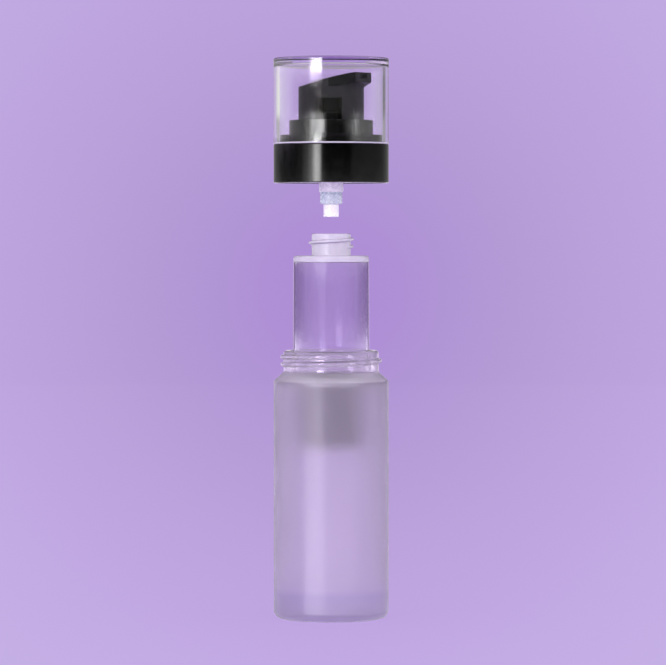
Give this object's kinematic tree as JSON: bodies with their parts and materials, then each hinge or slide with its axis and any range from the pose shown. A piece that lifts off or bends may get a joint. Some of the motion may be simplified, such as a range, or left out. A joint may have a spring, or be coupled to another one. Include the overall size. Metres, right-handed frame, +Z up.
{
  "type": "foundation bottle",
  "caption": "Airless pump bottle for liquid foundation: frosted glass bottle, threaded inner cartridge, and a pump head with stepped collar, side spout and clear overcap.",
  "frame": {"origin": "centre of the glass bottle's base, on the surface it stands on", "axes": "+Z up along the bottle's axis; -Y is the front, with the spout turned from +X towards it"},
  "size_m": [0.038, 0.038, 0.1849],
  "materials": {
    "frosted_glass": "frosted body, clear neck",
    "clear_plastic": "clear polished plastic",
    "natural_plastic": "translucent natural moulding",
    "dark_plastic": "dark grey, satin",
    "valve_plastic": "bluish clear moulding",
    "blue_ball": "polished",
    "soft_seal": "soft, matte",
    "spring_steel": "drawn wire",
    "gloss_black": "high gloss",
    "satin_black": "satin"
  },
  "bodies": {
    "bottle": {"glass_bottle": "frosted_glass"},
    "cartridge": {"cartridge_body": "clear_plastic", "cartridge_base": "natural_plastic"},
    "follower": {"follower_piston": "dark_plastic"},
    "gasket": {"neck_gasket": "soft_seal"},
    "pump": {"pump_housing": "natural_plastic", "valve_chamber": "valve_plastic", "inlet_nipple": "natural_plastic", "spring_seat": "natural_plastic", "return_spring": "spring_steel", "housing_cap": "natural_plastic"},
    "valve_ball": {"inlet_ball": "blue_ball"},
    "plunger": {"plunger_rod": "natural_plastic", "plunger_stem": "satin_black"},
    "piston": {"sliding_piston": "soft_seal"},
    "actuator": {"actuator_shell": "satin_black", "actuator_core": "satin_black", "nozzle_insert": "satin_black"},
    "collar": {"collar": "gloss_black", "screw_ring": "natural_plastic", "pump_closure": "natural_plastic", "rim_seal": "soft_seal"},
    "overcap": {"overcap": "clear_plastic"}
  },
  "joints": [
    {"name": "cartridge_lift", "type": "slide", "parent": "bottle", "child": "cartridge", "axis": [0, 0, 1], "range_m": [-0.0321, 0]},
    {"name": "follower_rise", "type": "slide", "parent": "cartridge", "child": "follower", "axis": [0, 0, 1], "range_m": [0, 0.0375]},
    {"name": "pump_lift", "type": "slide", "parent": "cartridge", "child": "gasket", "axis": [0, 0, 1], "range_m": [-0.0287, 0]},
    {"name": "screw_advance", "type": "slide", "parent": "gasket", "child": "pump", "axis": [0, 0, 1], "range_m": [-0.0036, 0]},
    {"name": "collar_turn", "type": "hinge", "parent": "pump", "child": "collar", "pos_m": [0, 0, 0.15], "axis": [0, 0, 1], "range_deg": [-540, 0]},
    {"name": "cap_pull", "type": "slide", "parent": "collar", "child": "overcap", "axis": [0, 0, 1], "range_m": [0, 0.032]},
    {"name": "plunger_press", "type": "slide", "parent": "pump", "child": "plunger", "axis": [0, 0, 1], "range_m": [-0.004, 0], "stiffness_N_per_m": 1500, "springref_m": 0.003, "deforming": ["return_spring"]},
    {"name": "piston_slip", "type": "slide", "parent": "plunger", "child": "piston", "axis": [0, 0, 1], "range_m": [0, 0.0007]},
    {"name": "spout_turn", "type": "hinge", "parent": "plunger", "child": "actuator", "pos_m": [0, 0, 0.17], "axis": [0, 0, 1], "continuous": true},
    {"name": "inlet_ball_lift", "type": "slide", "parent": "pump", "child": "valve_ball", "axis": [0, 0, 1], "range_m": [0, 0.0006]}
  ],
  "couplings": [
    {"joint": "screw_advance", "follows": "collar_turn", "m_per_rad": 0.00038197}
  ]
}
